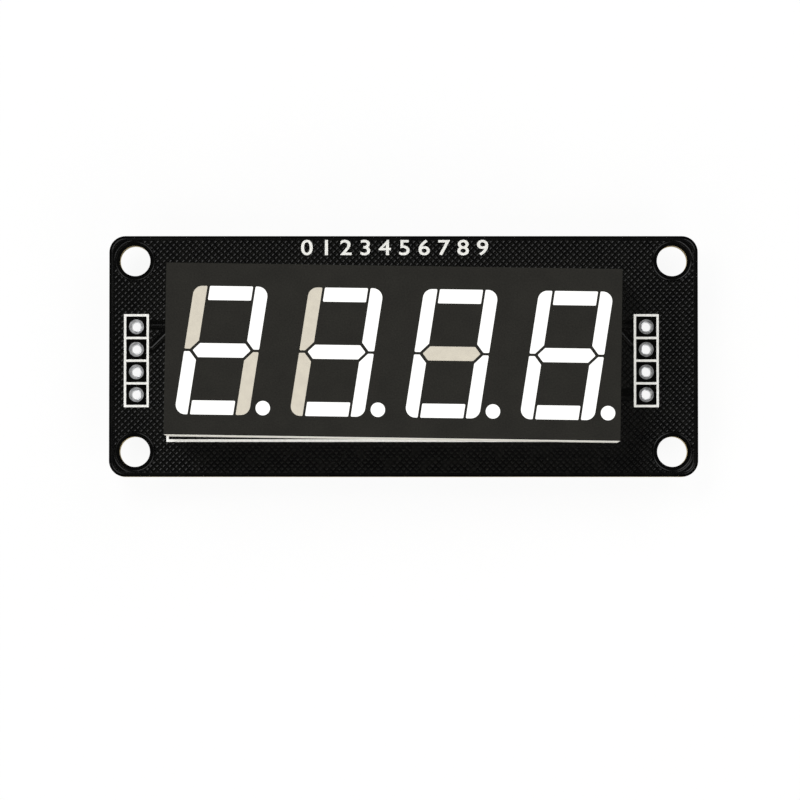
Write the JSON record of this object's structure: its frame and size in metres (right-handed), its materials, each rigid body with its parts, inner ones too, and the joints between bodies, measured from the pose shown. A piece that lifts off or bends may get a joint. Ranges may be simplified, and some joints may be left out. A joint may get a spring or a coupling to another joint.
{
  "type": "four-digit seven-segment display module",
  "caption": "White seven-segment display block with a decimal point after each digit, on a black circuit board with corner mounting holes and a plated header row at each end.",
  "frame": {"origin": "centre of the mounting-hole rectangle, on the circuit board's front face", "axes": "+X along the board, +Y towards the top of the digits, +Z out of the display's face"},
  "size_m": [0.066, 0.027, 0.0121],
  "materials": {
    "solder_mask": "glossy black solder mask over glass laminate",
    "tinned_copper": "hot-air-levelled tin on copper",
    "tinned_pins": "bright tin plating",
    "tinned_ends": "satin tin plating",
    "solder": "bright tin solder",
    "white_housing": "white moulded plastic, fine matt",
    "face_ink": "matt dark grey ink",
    "led_board": "white-coated glass laminate",
    "led_die": "phosphor-coated die",
    "potting_resin": "cloudy cast epoxy",
    "lit_bar": "glowing cast resin",
    "unlit_bar": "milky cast resin, dark",
    "chip_moulding": "fine-textured black moulding compound",
    "capacitor_moulding": "ochre moulding compound",
    "ceramic_body": "tan fired ceramic",
    "resistor_glass": "black overglaze on alumina"
  },
  "bodies": {
    "root": {"bulk_capacitor_body": "capacitor_moulding", "bulk_capacitor_tabs": "tinned_pins", "ceramic_capacitor_bodies": "ceramic_body", "ceramic_capacitor_ends": "tinned_ends", "circuit_board": "solder_mask", "digit_1_point": "lit_bar", "digit_1_segment_a": "lit_bar", "digit_1_segment_b": "lit_bar", "digit_1_segment_c": "unlit_bar", "digit_1_segment_d": "lit_bar", "digit_1_segment_e": "lit_bar", "digit_1_segment_f": "unlit_bar", "digit_1_segment_g": "lit_bar", "digit_2_point": "lit_bar", "digit_2_segment_a": "lit_bar", "digit_2_segment_b": "lit_bar", "digit_2_segment_c": "lit_bar", "digit_2_segment_d": "lit_bar", "digit_2_segment_e": "unlit_bar", "digit_2_segment_f": "unlit_bar", "digit_2_segment_g": "lit_bar", "digit_3_point": "lit_bar", "digit_3_segment_a": "lit_bar", "digit_3_segment_b": "lit_bar", "digit_3_segment_c": "lit_bar", "digit_3_segment_d": "lit_bar", "digit_3_segment_e": "lit_bar", "digit_3_segment_f": "lit_bar", "digit_3_segment_g": "unlit_bar", "digit_4_point": "lit_bar", "digit_4_segment_a": "lit_bar", "digit_4_segment_b": "lit_bar", "digit_4_segment_c": "lit_bar", "digit_4_segment_d": "lit_bar", "digit_4_segment_e": "lit_bar", "digit_4_segment_f": "lit_bar", "digit_4_segment_g": "lit_bar", "display_face_ink": "face_ink", "display_housing": "white_housing", "display_pin_holes": "tinned_copper", "display_pin_solder": "solder", "display_pins": "tinned_pins", "driver_chip_body": "chip_moulding", "driver_chip_leads": "tinned_pins", "driver_chip_solder": "solder", "header_holes_left": "tinned_copper", "header_holes_right": "tinned_copper", "led_board": "led_board", "led_dies": "led_die", "potting": "potting_resin", "resistor_bodies": "resistor_glass", "resistor_ends": "tinned_ends", "surface_lands": "tinned_copper", "surface_solder": "solder"}
  },
  "joints": []
}
